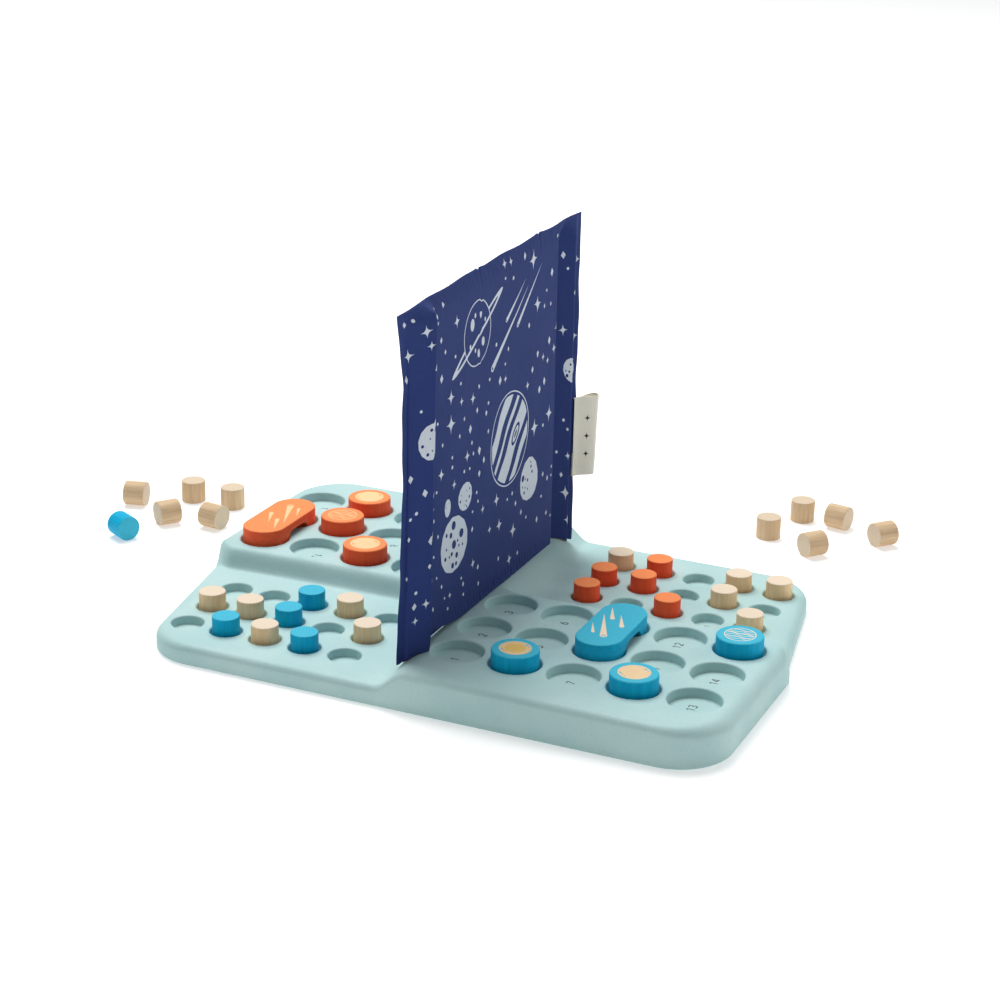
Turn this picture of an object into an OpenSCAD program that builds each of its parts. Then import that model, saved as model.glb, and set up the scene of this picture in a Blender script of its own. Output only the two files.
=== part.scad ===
// Fleet guessing case for two players.
// A moulded tray with two mirrored playing halves carries a cloth screen on two
// upright slats, wooden fleet pieces in the large pockets and marker pegs in the
// small ones. The origin is the middle of the tray's underside, +X runs along the
// tray, +Y across it and +Z up. Every half is the other one turned by 180 degrees.

/* [Tray] */
// Length of the tray over its raised ends
tray_length = 350; // [340:1:380]
// Width of the tray
tray_width = 243; // [240:1:260]
// Height of the raised decks
tray_height = 22; // [20:0.5:26]
// Height of the lowered decks
low_deck_height = 11.3; // [10:0.1:14]
// Radius of the tray's corners in plan
corner_radius = 31; // [20:1:35]
// Rounding of the tray's upper rim
rim_rounding = 5; // [3:0.5:8]

/* [Large pockets] */
// Diameter of a large pocket
large_pocket_d = 28.5; // [27:0.1:30]
// Depth of a large pocket
large_pocket_depth = 5.3; // [4:0.1:8]
// Spacing of the large pockets along the tray
large_pitch_x = 33; // [32:0.5:34]
// Spacing of the large pockets across the tray
large_pitch_y = 34.8; // [33:0.1:36]
// Place of the first large pocket along the tray
large_first_x = 18.9; // [18.5:0.1:20]
// Place of the first large pocket across the tray
large_first_y = -82.5; // [-84:0.1:-81]

/* [Small pockets] */
// Diameter of a small pocket
small_pocket_d = 18; // [16:0.1:19]
// Depth of a small pocket
small_pocket_depth = 4.9; // [4:0.1:7]
// Spacing of the small pockets along the tray
small_pitch_x = 24.25; // [22:0.25:25]
// Spacing of the small pockets across the tray
small_pitch_y = 26.4; // [24:0.1:28]
// Place of the first small pocket along the tray
small_first_x = 42.3; // [40:0.1:44]
// Place of the first small pocket across the tray
small_first_y = 40.3; // [39:0.1:42]

/* [Pieces] */
// Diameter of a marker peg
peg_d = 15; // [12:0.1:16]
// Length of a marker peg
peg_length = 13.7; // [11:0.1:18]
// Diameter of a round fleet piece
planet_d = 25.6; // [23:0.1:25.6]
// Thickness of a round fleet piece
planet_thickness = 13.6; // [10:0.1:18]
// Height of a long fleet piece above its pocket floors
meteor_height = 13.5; // [12:0.5:18]
// Thickness of a long fleet piece over its arch
meteor_slab = 4.8; // [3:0.1:6]
// Length of the arch under a long fleet piece
arch_length = 22.6; // [22.6:0.2:24]
// Radius of the arch's upper corners
arch_r = 5; // [3:0.5:6]
// Rounding of the wooden edges
edge_rounding = 0.6; // [0.3:0.1:1]

/* [Screen] */
// Height of the screen above the raised deck
screen_height = 189; // [150:1:220]
// Length of the flat middle board
board_length = 164; // [150:1:168]
// Thickness of the middle board
board_thickness = 2; // [1.5:0.1:3]
// Width of an upright slat
slat_width = 11.2; // [9:0.1:13]
// Thickness of an upright slat
slat_thickness = 3.4; // [3:0.1:4]
// Depth that a slat sinks into the tray
slat_depth = 11; // [8:0.5:14]
// Distance of a slat from the tray's middle, across the tray
slat_offset = 95.2; // [92:0.1:98]
// Turn of a slat out of the screen's plane
slat_turn = 33; // [20:1:40]
// Thickness of the sleeve's cloth
cloth = 0.8; // [0.6:0.1:1.2]
// Width of the sewn flap along each side of the sleeve
flap_width = 4.5; // [3:0.5:6]
// Width of the sleeve's straight top seam
top_seam_width = 236; // [220:1:240]
// Height over which the sleeve widens to its top seam
top_flare = 32; // [20:1:50]
// Height of the top seam itself
top_seam_height = 2; // [1:0.5:4]
// Height of the side label
label_height = 48.5; // [30:0.5:60]
// Height of the label's lower edge above the raised deck
label_base = 35.5; // [20:0.5:60]
// Reach of the side label beyond the flap
label_reach = 15; // [10:1:22]

/* [Hidden] */
$fn = 48;

// Gap between a loose piece and what it rests on, between cloth and wood, and round a slat
rest_gap = 0.05;
cloth_gap = 0.1;
slot_gap = 0.3;
// Room that the board and the slats leave under the sleeve's closed top
board_head_room = 9;
slat_head_room = 13;
// Gap between the raised deck and the board, and between the deck and the sleeve's hem
board_gap = 10;
hem_gap = 0.4;
// Length by which joined shapes run into each other
merge = 1;

columns = 5;
rows = 3;

// The lowered deck's end is drawn in from the raised end and tapers outward
low_end_inset = 5.1;
low_end_taper = 10.4;
waist_start = 0;
waist_end = 16;

// Slopes between the decks: beside the screen, and along the raised block
slope_x = [-1, 24];
slope_y = [2, 14];
slope_steps = 12;
ease_steps = 4;
// Height to which the cutting shapes reach above the deck
above = 8;

half_length = tray_length / 2;
half_width = tray_width / 2;
step = tray_height - low_deck_height;
screen_top = tray_height + screen_height;
large_first = [large_first_x, large_first_y];
small_first = [small_first_x, small_first_y];

// Pieces on the right half, as [column, row] of their pockets
blue_planet_spots = [[1, 0], [3, 0], [4, 2]];
blue_meteor_spot = [2, 1];
orange_peg_spots = [[0, 0], [0, 1], [1, 1], [1, 2], [2, 0]];
natural_right_spots = [[0, 2], [3, 1], [3, 2], [4, 0], [4, 2]];

// Pieces on the left half, counted in that half's own turned grid
orange_planet_spots = [[3, 0], [3, 1], [2, 2]];
orange_meteor_spot = [4, 1];
blue_peg_spots = [[3, 2], [2, 1], [2, 0], [1, 2]];
natural_left_spots = [[4, 1], [3, 1], [2, 2], [1, 0], [0, 1]];

// Spare pegs on the table, as [x, y, heading], upright where the heading is undef
spare_blue = [-255.8, 22.7, -29];
spare_natural = [
    [-279.9, 74.9, 15], [-251.7, 97.7, undef], [-223.3, 98.2, undef],
    [-244.7, 55.3, 53], [-215.9, 62.4, -8],
    [97.2, 204.8, undef], [107.3, 243.2, undef],
    [131.8, 240.1, -10], [130.7, 188.3, 50], [164.6, 224.3, 50]
];

mint = [0.70, 0.83, 0.82];
navy = [0.17, 0.22, 0.42];
board_grey = [0.62, 0.60, 0.56];
label_cream = [0.90, 0.86, 0.78];
orange = [0.91, 0.42, 0.20];
blue = [0.05, 0.62, 0.78];
wood = [0.87, 0.76, 0.62];

function arc(centre, r, a0, a1, n = 10) =
    [for (k = [0:n]) centre + r * [cos(a0 + (a1 - a0) * k / n), sin(a0 + (a1 - a0) * k / n)]];
function turned(points) = [for (p = points) -p];
function ease(t) = (1 - cos(180 * t)) / 2;
function large_spot(s) = large_first + [large_pitch_x * s[0], large_pitch_y * s[1]];
function small_spot(s) = small_first + [small_pitch_x * s[0], small_pitch_y * s[1]];

// Right half of the tray's outline, from the raised front corner to the lowered back one
function right_outline(inset = 0) =
    let (
        r = corner_radius,
        low_x = half_length - low_end_inset - r / cos(low_end_taper)
            - tan(low_end_taper) * (half_width - r - waist_end)
    )
    concat(
        arc([half_length - r, r - half_width], r - inset, -90, 0),
        [for (k = [0:slope_steps])
            [half_length - inset - low_end_inset * ease(k / slope_steps),
                waist_start + (waist_end - waist_start) * k / slope_steps]],
        arc([low_x, half_width - r], r - inset, low_end_taper, 90)
    );

module outline_slab(inset, height) {
    linear_extrude(height)
        polygon(concat(right_outline(inset), turned(right_outline(inset))));
}

// Both halves of anything drawn for the right half
module both_halves() {
    children();
    rotate([0, 0, 180]) children();
}

// Fall from the raised deck to the lowered one between two places along one axis
function fall(span) =
    [for (k = [0:slope_steps])
        [span[0] + (span[1] - span[0]) * k / slope_steps,
            tray_height - step * ease(k / slope_steps)]];

// Everything under the rounded rim of the raised decks
module rim_envelope() {
    shoulder = rim_rounding * (1 - sqrt(0.5));
    hull() {
        outline_slab(0, tray_height - rim_rounding);
        outline_slab(shoulder, tray_height - shoulder);
        outline_slab(rim_rounding, tray_height);
    }
}

module fall_space(span) {
    reach = half_length + above;
    top = tray_height + above;
    rotate([90, 0, 0])
        translate([0, 0, -reach])
            linear_extrude(2 * reach)
                polygon(concat([[span[0], top]], fall(span),
                    [[reach, low_deck_height], [reach, top]]));
}

// Room above the lowered deck of the right half
module low_deck_space() {
    intersection() {
        fall_space(slope_x);
        rotate([0, 0, 90]) mirror([0, 1, 0]) fall_space(slope_y);
    }
}

module pockets() {
    for (i = [0:columns - 1], j = [0:rows - 1]) {
        translate(concat(large_spot([i, j]), tray_height - large_pocket_depth))
            cylinder(d = large_pocket_d, h = large_pocket_depth + above);
        translate(concat(small_spot([i, j]), low_deck_height - small_pocket_depth))
            cylinder(d = small_pocket_d, h = small_pocket_depth + above);
    }
}

// Places a child on a slat's axis, in the front or (by turning) the back half
module at_front_slat(z) {
    translate([0, -slat_offset, z]) rotate([0, 0, -slat_turn]) children();
}

module slat_slot() {
    at_front_slat(tray_height - slat_depth - slot_gap)
        translate([-slat_thickness / 2 - slot_gap, -slat_width / 2 - slot_gap, 0])
            cube([slat_thickness + 2 * slot_gap, slat_width + 2 * slot_gap, tray_height]);
}

// Moulded tray: rounded rim, two lowered decks, sixty pockets and two slat slots
module tray() {
    color(mint)
    difference() {
        intersection() {
            outline_slab(0, tray_height);
            rim_envelope();
        }
        both_halves() {
            low_deck_space();
            pockets();
            slat_slot();
        }
    }
}

// Stiff board that keeps the middle of the screen flat
module screen_board() {
    color(board_grey)
    translate([-board_thickness / 2, -board_length / 2, tray_height + board_gap])
        cube([board_thickness, board_length, screen_height - board_head_room - board_gap]);
}

module slat() {
    color(wood)
    at_front_slat(tray_height - slat_depth)
        translate([-slat_thickness / 2, -slat_width / 2, 0])
            cube([slat_thickness, slat_width, slat_depth + screen_height - slat_head_room]);
}
module screen_slat_front() slat();
module screen_slat_back() rotate([0, 0, 180]) slat();

module sleeve_outline() {
    wing = [slat_thickness, slat_width] + 2 * (cloth + cloth_gap) * [1, 1];
    panel = [board_thickness, board_length] + 2 * (cloth + cloth_gap) * [1, 1];
    square(panel, center = true);
    both_halves() {
        translate([0, -slat_offset]) rotate(-slat_turn) {
            square(wing, center = true);
            translate([-cloth, -wing[1] / 2 - flap_width])
                square([2 * cloth, flap_width + merge]);
        }
        slat_edge = [sin(slat_turn), cos(slat_turn)] * slat_width / 2 - [0, slat_offset];
        polygon([
            slat_edge - [2 * cloth, 0], slat_edge + [2 * cloth, 0],
            [panel[0] / 2, -board_length / 2], [-panel[0] / 2, -board_length / 2]
        ]);
    }
}

// Flat two-layer cloth that reaches from the channels out to the straight top seam
module top_fan() {
    flare_base = screen_top - top_flare;
    seam_base = screen_top - top_seam_height;
    rotate([90, 0, 90])
        translate([0, 0, -cloth])
            linear_extrude(2 * cloth)
                polygon([
                    [-slat_offset, flare_base], [slat_offset, flare_base],
                    [top_seam_width / 2, seam_base], [top_seam_width / 2, screen_top],
                    [-top_seam_width / 2, screen_top], [-top_seam_width / 2, seam_base]
                ]);
}

// Cloth sleeve, open below, with one flat channel for the board and one for each slat
module screen_sleeve() {
    hem = tray_height + hem_gap;
    room = 2 * cloth_gap;
    color(navy)
    difference() {
        union() {
            translate([0, 0, hem]) linear_extrude(screen_top - hem) sleeve_outline();
            top_fan();
        }
        translate([0, 0, hem - merge]) linear_extrude(screen_top - hem - cloth + merge) {
            square([board_thickness + room, board_length + room], center = true);
            both_halves()
                translate([0, -slat_offset]) rotate(-slat_turn)
                    square([slat_thickness + room, slat_width + room], center = true);
        }
    }
}

// Blank folded cloth label, sewn to the back flap
module screen_label() {
    fold_r = 1.2;
    tape = 0.8;
    start = slat_width / 2 + cloth + cloth_gap + flap_width + cloth_gap;
    color(label_cream)
    rotate([0, 0, 180])
        at_front_slat(tray_height + label_base)
            translate([0, -start - label_reach, 0])
                difference() {
                    union() {
                        translate([-fold_r, fold_r - rest_gap, 0])
                            cube([2 * fold_r, label_reach - fold_r + rest_gap, label_height]);
                        translate([0, fold_r, 0]) cylinder(r = fold_r, h = label_height);
                    }
                    translate([tape - fold_r, fold_r, -merge])
                        cube([2 * (fold_r - tape), label_reach, label_height + 2 * merge]);
                }
}

// Upright turned piece with eased edges, standing on the origin
module turned_piece(d, h, ease_r) {
    rotate_extrude()
        polygon(concat(
            [[0, 0]],
            arc([d / 2 - ease_r, ease_r], ease_r, -90, 0, ease_steps),
            arc([d / 2 - ease_r, h - ease_r], ease_r, 0, 90, ease_steps),
            [[0, h]]
        ));
}

module peg() turned_piece(peg_d, peg_length, edge_rounding);

module peg_in_pocket(spot) {
    translate(concat(small_spot(spot), low_deck_height - small_pocket_depth + rest_gap)) peg();
}

// A spare peg on the table stands upright, or lies with its axis along the heading
module spare_peg(place) {
    if (is_undef(place[2]))
        translate([place[0], place[1], 0]) peg();
    else
        translate([place[0], place[1], peg_d / 2])
            rotate([0, 90, place[2]])
                translate([0, 0, -peg_length / 2]) peg();
}

module planet(spot) {
    translate(concat(large_spot(spot), tray_height - large_pocket_depth + rest_gap))
        turned_piece(planet_d, planet_thickness, 2 * edge_rounding);
}

// Opening under a long piece, seen from its side
module arch_opening() {
    arch_half = arch_length / 2;
    crown = meteor_height - meteor_slab;
    translate([-arch_half, -merge]) square([arch_length, crown - arch_r + merge]);
    translate([arch_r - arch_half, 0]) square([arch_length - 2 * arch_r, crown]);
    for (side = [-1, 1])
        translate([side * (arch_half - arch_r), crown - arch_r]) circle(r = arch_r);
}

// Long piece that bridges two large pockets, with a foot in each
module meteor(spot) {
    reach = large_pitch_y / 2;
    translate(concat(large_spot(spot) + [0, reach], tray_height - large_pocket_depth + rest_gap))
        difference() {
            linear_extrude(meteor_height)
                union() {
                    square([planet_d, 2 * reach], center = true);
                    for (side = [-1, 1]) translate([0, side * reach]) circle(d = planet_d);
                }
            rotate([90, 0, 90])
                translate([0, 0, -planet_d])
                    linear_extrude(2 * planet_d) arch_opening();
        }
}

module left_half() rotate([0, 0, 180]) children();

module blue_planet(k) color(blue) planet(blue_planet_spots[k]);
module blue_meteor() color(blue) meteor(blue_meteor_spot);
module orange_planet(k) color(orange) left_half() planet(orange_planet_spots[k]);
module orange_meteor() color(orange) left_half() meteor(orange_meteor_spot);
module orange_peg(k) color(orange) peg_in_pocket(orange_peg_spots[k]);
module blue_peg(k) color(blue) left_half() peg_in_pocket(blue_peg_spots[k]);
module blue_spare() color(blue) spare_peg(spare_blue);
module natural_right(k) color(wood) peg_in_pocket(natural_right_spots[k]);
module natural_left(k) color(wood) left_half() peg_in_pocket(natural_left_spots[k]);
module natural_spare(k) color(wood) spare_peg(spare_natural[k]);

tray();
screen_board();
screen_slat_front();
screen_slat_back();
screen_sleeve();
screen_label();
blue_planet(0);  // blue_planet_1
blue_planet(1);  // blue_planet_2
blue_planet(2);  // blue_planet_3
blue_meteor();
orange_planet(0);  // orange_planet_1
orange_planet(1);  // orange_planet_2
orange_planet(2);  // orange_planet_3
orange_meteor();
orange_peg(0);  // orange_peg_1
orange_peg(1);  // orange_peg_2
orange_peg(2);  // orange_peg_3
orange_peg(3);  // orange_peg_4
orange_peg(4);  // orange_peg_5
blue_peg(0);  // blue_peg_1
blue_peg(1);  // blue_peg_2
blue_peg(2);  // blue_peg_3
blue_peg(3);  // blue_peg_4
blue_spare();  // blue_peg_5
natural_right(0);  // natural_peg_1
natural_right(1);  // natural_peg_2
natural_right(2);  // natural_peg_3
natural_right(3);  // natural_peg_4
natural_right(4);  // natural_peg_5
natural_left(0);  // natural_peg_6
natural_left(1);  // natural_peg_7
natural_left(2);  // natural_peg_8
natural_left(3);  // natural_peg_9
natural_left(4);  // natural_peg_10
natural_spare(0);  // natural_peg_11
natural_spare(1);  // natural_peg_12
natural_spare(2);  // natural_peg_13
natural_spare(3);  // natural_peg_14
natural_spare(4);  // natural_peg_15
natural_spare(5);  // natural_peg_16
natural_spare(6);  // natural_peg_17
natural_spare(7);  // natural_peg_18
natural_spare(8);  // natural_peg_19
natural_spare(9);  // natural_peg_20
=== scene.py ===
"""Looks of the fleet guessing case: a moulded tray, a cloth screen and wooden pieces.

Lengths in this script are millimetres until a mesh is made. The tray's two halves are each other
turned by half a turn about +Z, so most shapes are drawn for the right half only.
"""

import math
import random

import bmesh
import bpy
import numpy as np
from mathutils import Matrix, Vector
from mathutils.geometry import delaunay_2d_cdt


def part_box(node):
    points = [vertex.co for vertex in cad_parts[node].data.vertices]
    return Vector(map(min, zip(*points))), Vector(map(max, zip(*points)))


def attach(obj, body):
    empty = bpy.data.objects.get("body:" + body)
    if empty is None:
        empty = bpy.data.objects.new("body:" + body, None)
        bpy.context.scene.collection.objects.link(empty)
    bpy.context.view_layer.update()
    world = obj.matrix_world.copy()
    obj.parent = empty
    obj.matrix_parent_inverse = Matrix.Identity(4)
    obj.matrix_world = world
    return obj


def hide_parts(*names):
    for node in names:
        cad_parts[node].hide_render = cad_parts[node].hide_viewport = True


MM = 0.001
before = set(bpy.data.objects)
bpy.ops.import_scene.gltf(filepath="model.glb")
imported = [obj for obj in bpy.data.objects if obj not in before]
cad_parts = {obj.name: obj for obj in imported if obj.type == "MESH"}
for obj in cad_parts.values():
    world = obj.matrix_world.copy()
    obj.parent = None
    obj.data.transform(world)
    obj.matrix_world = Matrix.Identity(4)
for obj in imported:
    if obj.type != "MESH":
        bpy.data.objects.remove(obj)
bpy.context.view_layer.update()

# ---------------------------------------------------------------- sizes of the tray, in mm
HALF_LENGTH, HALF_WIDTH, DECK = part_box("tray")[1] / MM
LOW_DECK = 11.3
CORNER_R = 31.0
RIM_R_SIDES = 4.0
RIM_R_RAISED_END = 7.5
RIM_R_LOWERED_END = 5.5
BOTTOM_R = 1.4
LOW_END_INSET = 5.1
LOW_END_TAPER = math.radians(10.4)
WAIST = (0.0, 16.0)
LARGE = {
    "d": 28.5, "depth": 5.3, "pitch": (33.0, 34.8), "first": (18.9, -82.5), "deck": DECK,
    "number_height": 4.4, "number_offset": (-1.6, 0.6),
}
SMALL = {
    "d": 18.0, "depth": 4.9, "pitch": (24.25, 26.4), "first": (42.3, 40.3), "deck": LOW_DECK,
    "number_height": 2.6, "number_offset": (-0.9, 0.4),
}
COLUMNS, ROWS = 5, 3
SLOPE_X = (-1.0, 24.0)
SLOPE_Y_AT_SCREEN = (0.5, 13.0)
SLOPE_Y_AT_END = (6.5, 15.5)
SLOPE_LENGTH = 160.0
SLOPE_TURNS_AT = 158.0
SLOPE_TURN_RUN = 14.0
SLOPE_TURN = 9.0
RIDGE_NARROWS = (60.0, 117.0)
RIDGE_CREST_SHIFT = 5.0
RIDGE_FOOT_SHIFT = 11.5

# ---------------------------------------------------------------- sizes of the wooden pieces
PEG_R = 7.5
PEG_LENGTH = 13.7
PRINT_R = 8.6
PLANK_SLAB = 4.8
ARCH_HALF = 11.3
ARCH_R = 5.0

# ---------------------------------------------------------------- sizes of the screen
SLAT_OFFSET = 95.2
SLAT_TURN = math.radians(33)
SLAT_SLOT = (4.0, 11.8)
SLAT_DEPTH = 11.3
CLOTH_HALF = 118.0
CLOTH_HEIGHT = 190.0
CLOTH_THICKNESS = 0.35

# ---------------------------------------------------------------- fineness of the meshes, in mm
MERGE_DISTANCE = 0.002
OUTLINE_SPACING = 2.6
DECK_SPACING = 1.3


# ---------------------------------------------------------------- small helpers
def srgb(r, g, b):
    """A colour given on the 0 to 255 display scale, as linear values."""
    return tuple(((c / 255 + 0.055) / 1.055) ** 2.4 if c > 10 else c / 255 / 12.92 for c in (r, g, b))


def arc(centre, radii, start, end, steps):
    """Points along an ellipse's arc, with angles in degrees."""
    turns = np.radians(np.linspace(start, end, steps + 1))
    return [(centre[0] + radii[0] * math.cos(t), centre[1] + radii[1] * math.sin(t)) for t in turns]


def circle(centre, r, steps=24):
    """The corners of a closed circle."""
    return arc(centre, (r, r), 0, 360 - 360 / steps, steps - 1)


def moved(points, offset=(0, 0), turn=0.0, size=1.0):
    """The points scaled, turned by so many degrees and then shifted."""
    c, s = math.cos(math.radians(turn)) * size, math.sin(math.radians(turn)) * size
    return [(offset[0] + c * x - s * y, offset[1] + s * x + c * y) for x, y in points]


def between(a, b, share):
    """The value at a share of the way from a to b."""
    return a + (b - a) * share


def ease(t):
    """A soft step from 0 to 1 while t goes from 0 to 1."""
    t = np.clip(t, 0, 1)
    return (1 - np.cos(np.pi * t)) / 2


def stroke(points, width):
    """The outline of a pen line of the given width along the points."""
    p = np.array(points, float)
    along = np.gradient(p, axis=0)
    along /= np.linalg.norm(along, axis=1)[:, None]
    side = np.column_stack([-along[:, 1], along[:, 0]]) * width / 2
    return [tuple(q) for q in np.vstack([p + side, (p - side)[::-1]])]


class Builder:
    """Gathers the vertices, faces and paints of one mesh."""

    def __init__(self):
        self.verts = []
        self.faces = []
        self.paints = []
        self.wear = []

    def add(self, points, wear=0.0):
        """Adds vertices and returns their numbers."""
        first = len(self.verts)
        self.verts.extend(tuple(p) for p in points)
        self.wear.extend([wear] * (len(self.verts) - first))
        return list(range(first, len(self.verts)))

    def face(self, corners, paint=0):
        self.faces.append(tuple(corners))
        self.paints.append(paint)

    def tube(self, rings):
        """Joins closed rings of vertices that have the same count with quads, from one to the next."""
        n = len(rings[0])
        for lower, upper in zip(rings, rings[1:]):
            for i in range(n):
                j = (i + 1) % n
                self.face((lower[i], lower[j], upper[j], upper[i]))

    def sheet(self, flat_sheet, lift, flip=False):
        """Adds a painted flat sheet, lifted into space point by point."""
        points, triangles, paints = flat_sheet
        numbers = self.add([lift(x, y) for x, y in points])
        for tri, paint in zip(triangles, paints):
            corners = [numbers[k] for k in tri]
            self.face(corners[::-1] if flip else corners, paint)

    def build(self, name, materials, sharp_angle, uv=None):
        """Makes the Blender object, in metres, with its doubled vertices joined."""
        mesh = bpy.data.meshes.new(name)
        mesh.from_pydata([(x * MM, y * MM, z * MM) for x, y, z in self.verts], [], self.faces)
        wear = mesh.attributes.new("wear", "FLOAT", "POINT")
        wear.data.foreach_set("value", self.wear)
        mesh.polygons.foreach_set("material_index", self.paints)
        for material in materials:
            mesh.materials.append(material)
        if uv is not None:
            layer = mesh.uv_layers.new(name="cloth")
            corners = np.zeros(len(mesh.loops), np.int32)
            mesh.loops.foreach_get("vertex_index", corners)
            layer.data.foreach_set("uv", (np.array(uv) * MM)[corners].astype(np.float32).ravel())
        tidy_mesh(mesh)
        mesh.shade_smooth()
        mesh.set_sharp_from_angle(angle=math.radians(sharp_angle))
        obj = bpy.data.objects.new(name, mesh)
        bpy.context.scene.collection.objects.link(obj)
        return obj


def tidy_mesh(mesh):
    """Joins doubled vertices, drops loose ones and turns the faces outward."""
    bm = bmesh.new()
    bm.from_mesh(mesh)
    bmesh.ops.remove_doubles(bm, verts=bm.verts, dist=MERGE_DISTANCE * MM)
    loose = [v for v in bm.verts if not v.link_faces]
    bmesh.ops.delete(bm, geom=loose, context="VERTS")
    bmesh.ops.recalc_face_normals(bm, faces=bm.faces)
    bm.to_mesh(mesh)
    bm.free()


def counterclockwise(points):
    """The closed outline's points, turned round if they run clockwise."""
    area = sum(a[0] * b[1] - b[0] * a[1] for a, b in zip(points, points[1:] + points[:1]))
    return list(points) if area > 0 else list(points)[::-1]


def painted_sheet(boundary, shapes, extra=()):
    """Triangles that fill the boundary, cut along the outlines of the shapes.

    shapes is a list of (outline, paint). A later shape covers an earlier one, and a shape with the
    paint None is a hole. Returns the points, the triangles and one paint per triangle.
    """
    outlines = [counterclockwise(boundary)] + [counterclockwise(edge) for edge, paint in shapes]
    points = []
    loops = []
    for outline in outlines:
        loops.append(list(range(len(points), len(points) + len(outline))))
        points.extend(outline)
    points.extend(extra)
    result = delaunay_2d_cdt([Vector(p) for p in points], [], loops, 0, 1e-5, True)
    triangles, paints = [], []
    for tri, owners in zip(result[2], result[5]):
        if 0 not in owners:
            continue
        top = max(owners)
        paint = shapes[top - 1][1] if top else 0
        if paint is not None:
            triangles.append(tri)
            paints.append(paint)
    return [tuple(p) for p in result[0]], triangles, paints


def grid_points(columns, rows):
    """The crossings of a grid, as its border counterclockwise and the points inside."""
    border = [(u, rows[0]) for u in columns] + [(columns[-1], v) for v in rows[1:]]
    border += [(u, rows[-1]) for u in columns[-2::-1]] + [(columns[0], v) for v in rows[-2:0:-1]]
    return border, [(u, v) for u in columns[1:-1] for v in rows[1:-1]]


# ---------------------------------------------------------------- materials
class Shader:
    """The node tree of a material or of the world, built from left to right."""

    def __init__(self, owner, surface="Principled BSDF"):
        self.owner = owner
        owner.use_nodes = True
        self.tree = owner.node_tree
        self.surface = self.tree.nodes[surface]

    def node(self, kind, inputs=None, **settings):
        made = self.tree.nodes.new("ShaderNode" + kind)
        for key, value in settings.items():
            setattr(made, key, value)
        for key, value in (inputs or {}).items():
            self.put(made.inputs[key], value)
        return made

    def put(self, socket, value):
        if isinstance(value, bpy.types.NodeSocket):
            self.tree.links.new(value, socket)
        elif isinstance(value, tuple) and socket.type == "RGBA":
            socket.default_value = (*value[:3], 1)
        else:
            socket.default_value = value

    def place(self):
        """The point in the piece's own space, in metres."""
        return self.node("TexCoord").outputs["Object"]

    def noise(self, vector, scale, detail=3.0, roughness=0.5):
        inputs = {"Vector": vector, "Scale": scale, "Detail": detail, "Roughness": roughness}
        return self.node("TexNoise", inputs).outputs["Fac"]

    def stretch(self, vector, scale):
        return self.node("Mapping", {"Vector": vector, "Scale": scale}).outputs["Vector"]

    def math(self, operation, a, b=0.0, clamp=False):
        return self.node("Math", {0: a, 1: b}, operation=operation, use_clamp=clamp).outputs[0]

    def times(self, a, b):
        return self.math("MULTIPLY", a, b)

    def span(self, value, low, high, to_low=0.0, to_high=1.0):
        inputs = {
            "Value": value, "From Min": low, "From Max": high, "To Min": to_low, "To Max": to_high,
        }
        return self.node("MapRange", inputs).outputs["Result"]

    def mix(self, factor, a, b):
        made = self.node("Mix", data_type="RGBA")
        self.put(made.inputs["Factor"], factor)
        self.put(made.inputs["A"], a)
        self.put(made.inputs["B"], b)
        return made.outputs["Result"]

    def bump(self, height, depth_mm, strength=1.0, normal=None):
        inputs = {"Height": height, "Distance": depth_mm * MM, "Strength": strength}
        if normal is not None:
            inputs["Normal"] = normal
        return self.node("Bump", inputs).outputs["Normal"]

    def finish(self, colour, roughness, normal, **others):
        self.put(self.surface.inputs["Base Color"], colour)
        self.put(self.surface.inputs["Roughness"], roughness)
        self.put(self.surface.inputs["Normal"], normal)
        for key, value in others.items():
            self.put(self.surface.inputs[key.replace("_", " ")], value)
        return self.owner


def tray_material(name, tint):
    """Matt moulded composite of wood fibre: pale mint, fine flecks and a slightly pitted skin."""
    s = Shader(bpy.data.materials.new(name))
    place = s.place()
    broad = s.noise(place, 28, 3)
    mottle = s.noise(place, 420, 4, 0.6)
    fibre = s.noise(place, 1500, 2, 0.7)
    cells = s.node("TexVoronoi", {"Vector": place, "Scale": 640.0, "Randomness": 1.0})
    dark_fleck = s.span(cells.outputs["Distance"], 0.10, 0.2, 1, 0)
    chance = s.node("SeparateColor", {"Color": cells.outputs["Color"]})
    dark_fleck = s.times(dark_fleck, s.span(chance.outputs[0], 0.45, 0.75))
    light_fleck = s.span(fibre, 0.62, 0.74)
    base = s.mix(s.span(broad, 0.35, 0.65), tint["low"], tint["high"])
    base = s.mix(s.span(mottle, 0.3, 0.7, 0, 0.35), base, tint["low"])
    base = s.mix(s.times(dark_fleck, 0.45), base, tint["dark"])
    base = s.mix(s.times(light_fleck, 0.50), base, tint["light"])
    skin = s.bump(fibre, 0.10, 0.35)
    skin = s.bump(mottle, 0.25, 0.25, skin)
    return s.finish(base, s.span(mottle, 0.3, 0.7, 0.55, 0.72), skin, Specular_IOR_Level=0.45)


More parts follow.
